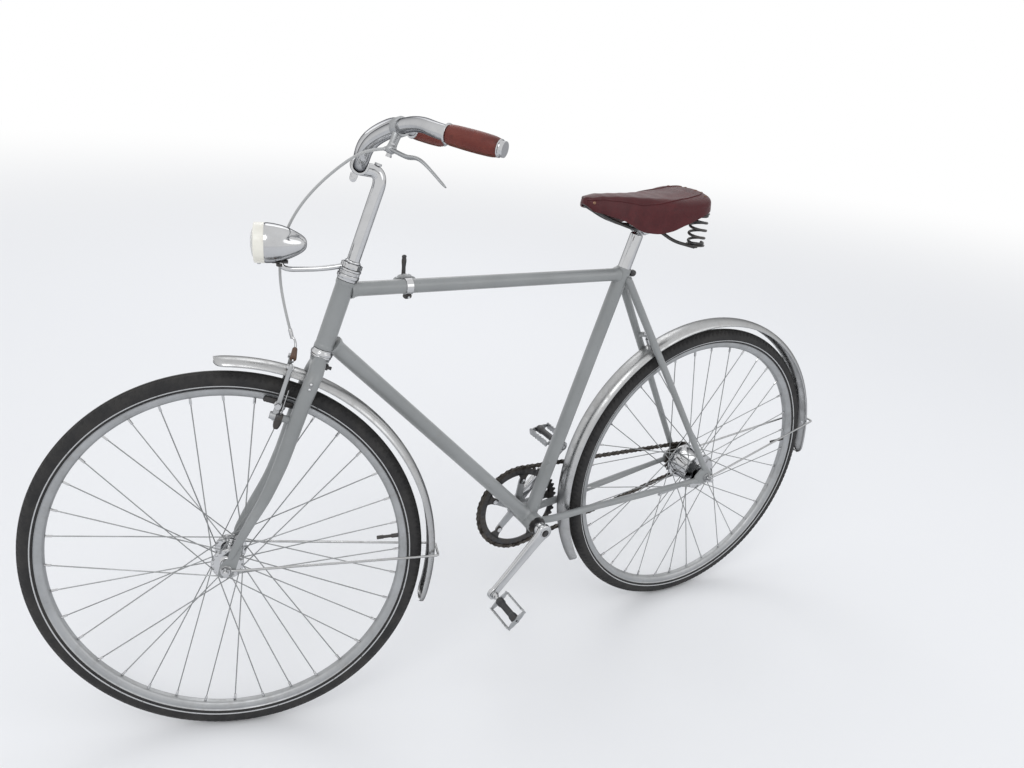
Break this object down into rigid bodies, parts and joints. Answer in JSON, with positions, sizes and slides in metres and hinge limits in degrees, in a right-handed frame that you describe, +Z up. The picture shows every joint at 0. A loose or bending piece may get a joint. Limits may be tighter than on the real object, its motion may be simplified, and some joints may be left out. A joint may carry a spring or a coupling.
{
  "type": "city bicycle",
  "caption": "Diamond-frame city bicycle with a sprung leather saddle, swept-back bar, bullet headlamp, bright mudguards and a hub gear; the steering, wheels, cranks and pedals turn.",
  "frame": {"origin": "point on top of the saddle where the rider sits", "axes": "+X to the rear of the bicycle, +Y to the rider's right, +Z up"},
  "size_m": [1.7666, 0.5708, 1.1338],
  "materials": {
    "frame_paint": "satin cool grey enamel",
    "cable_sleeve": "smooth grey",
    "alloy": "dull polished",
    "pad_rubber": "matt",
    "chrome": "polished, lightly pitted",
    "dark_steel": "oily black",
    "guard_steel": "bright rolled steel, dusty",
    "spoke_steel": "dull galvanised",
    "tyre_rubber": "dusty matt",
    "lens": "ribbed",
    "grip_hide": "stitched red-brown",
    "black_plastic": "matt",
    "saddle_hide": "worn dark red-brown"
  },
  "bodies": {
    "frame": {"bottom_bracket_shell": "frame_paint", "brake_reaction_arm": "chrome", "chain": "dark_steel", "down_tube": "frame_paint", "gear_shifter": "dark_steel", "head_tube": "frame_paint", "headset_cups": "chrome", "left_chain_stay": "frame_paint", "left_seat_stay": "frame_paint", "rear_axle": "chrome", "rear_mudguard": "guard_steel", "rear_mudguard_stay": "guard_steel", "right_chain_stay": "frame_paint", "right_seat_stay": "frame_paint", "saddle_clamp": "chrome", "saddle_leather": "saddle_hide", "saddle_rails": "dark_steel", "saddle_springs": "dark_steel", "seat_post": "chrome", "seat_tube": "frame_paint", "sprocket": "dark_steel", "stay_bridge": "frame_paint", "top_tube": "frame_paint"},
    "steering": {"brake_cable": "cable_sleeve", "brake_lever": "alloy", "brake_pads": "pad_rubber", "fork_steerer": "frame_paint", "front_axle": "chrome", "front_mudguard": "guard_steel", "front_mudguard_stay": "guard_steel", "handlebar": "chrome", "headlamp": "chrome", "headlamp_bracket": "chrome", "headlamp_lens": "lens", "headset_races": "chrome", "left_brake_arm": "alloy", "left_fork_blade": "frame_paint", "left_grip": "grip_hide", "right_brake_arm": "alloy", "right_fork_blade": "frame_paint", "right_grip": "grip_hide", "stem": "chrome"},
    "front_wheel": {"front_hub": "alloy", "front_rim": "alloy", "front_spokes": "spoke_steel", "front_tyre": "tyre_rubber"},
    "rear_wheel": {"rear_hub": "alloy", "rear_rim": "alloy", "rear_spokes": "spoke_steel", "rear_tyre": "tyre_rubber"},
    "crankset": {"chainring": "dark_steel", "crank_spindle": "chrome", "left_crank": "alloy", "pedal_spindles": "chrome", "right_crank": "alloy"},
    "left_pedal": {"left_pedal_barrel": "black_plastic", "left_pedal_cage": "chrome"},
    "right_pedal": {"right_pedal_barrel": "black_plastic", "right_pedal_cage": "chrome"}
  },
  "joints": [
    {"name": "steering", "type": "hinge", "parent": "frame", "child": "steering", "pos_m": [-0.67858, 0, -0.20497], "axis": [0.3123, 0, 0.95], "range_deg": [-51, 88]},
    {"name": "front_wheel_spin", "type": "hinge", "parent": "steering", "child": "front_wheel", "pos_m": [-0.86305, 0.01231, -0.6496], "axis": [0.3046, 0.9472, -0.1001], "continuous": true},
    {"name": "rear_wheel_spin", "type": "hinge", "parent": "frame", "child": "rear_wheel", "pos_m": [0.20502, 0, -0.64897], "axis": [0, 1, 0], "continuous": true},
    {"name": "crank_spin", "type": "hinge", "parent": "frame", "child": "crankset", "pos_m": [-0.23998, 0, -0.69597], "axis": [0, 1, 0], "continuous": true},
    {"name": "left_pedal_spin", "type": "hinge", "parent": "crankset", "child": "left_pedal", "pos_m": [-0.34823, -0.123, -0.82049], "axis": [0, 1, 0], "continuous": true},
    {"name": "right_pedal_spin", "type": "hinge", "parent": "crankset", "child": "right_pedal", "pos_m": [-0.13173, 0.123, -0.57144], "axis": [0, 1, 0], "continuous": true}
  ]
}
